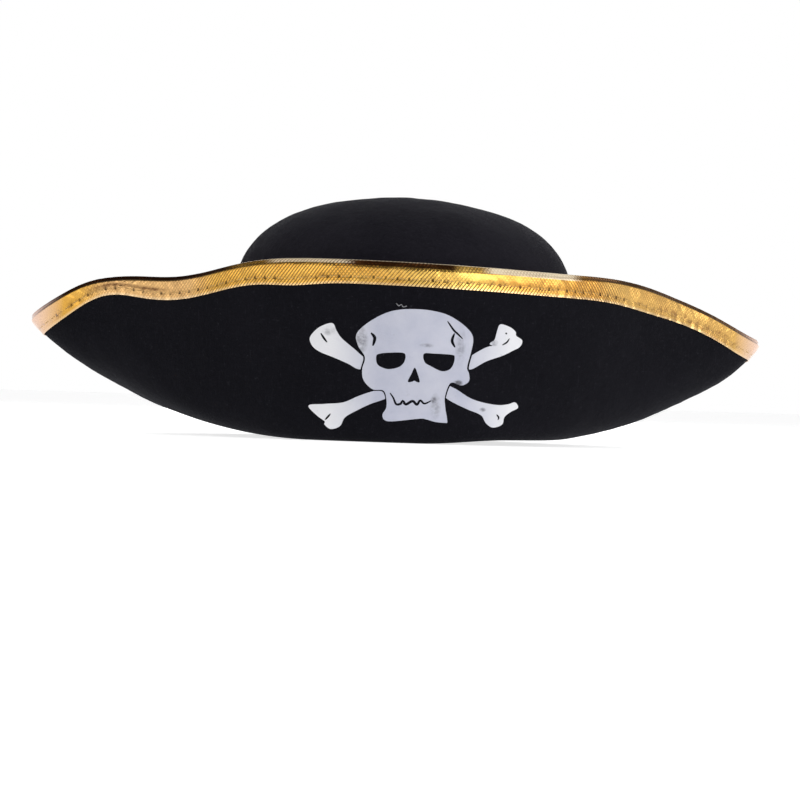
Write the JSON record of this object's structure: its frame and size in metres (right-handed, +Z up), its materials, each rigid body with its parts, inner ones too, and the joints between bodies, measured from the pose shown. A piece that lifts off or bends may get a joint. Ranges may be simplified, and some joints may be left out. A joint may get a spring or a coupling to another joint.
{
  "type": "pirate hat",
  "caption": "Black felt costume hat with a round crown, a brim turned up front and back, gold edge tape and a printed skull and crossbones.",
  "frame": {"origin": "under the middle of the hat, in the plane that the underside of the brim rests on", "axes": "+X from the wearer's right point to the wearer's left point, -Y towards the front with the print, +Z up through the crown"},
  "size_m": [0.3658, 0.2284, 0.1195],
  "materials": {
    "felt": "black pressed felt, matte",
    "gold_tape": "embossed metallic gold tape",
    "gold_thread": "gold sewing thread",
    "black_thread": "black sewing thread",
    "ribbon": "black grosgrain ribbon",
    "print_film": "white print film, slightly grey",
    "label_cloth": "white woven label, blank",
    "tack_thread": "light grey thread"
  },
  "bodies": {
    "root": {"crown": "felt", "brim": "felt", "gold_binding": "gold_tape", "binding_end_lap": "gold_tape", "binding_thread": "gold_thread", "crown_seam_thread": "black_thread", "sweatband": "ribbon", "sweatband_lap": "ribbon", "sweatband_thread": "black_thread", "care_label": "label_cloth", "front_tack": "tack_thread", "rear_tack": "tack_thread", "skull": "print_film", "bone_upper_left": "print_film", "bone_upper_right": "print_film", "bone_lower_left": "print_film", "bone_lower_right": "print_film"}
  },
  "joints": []
}
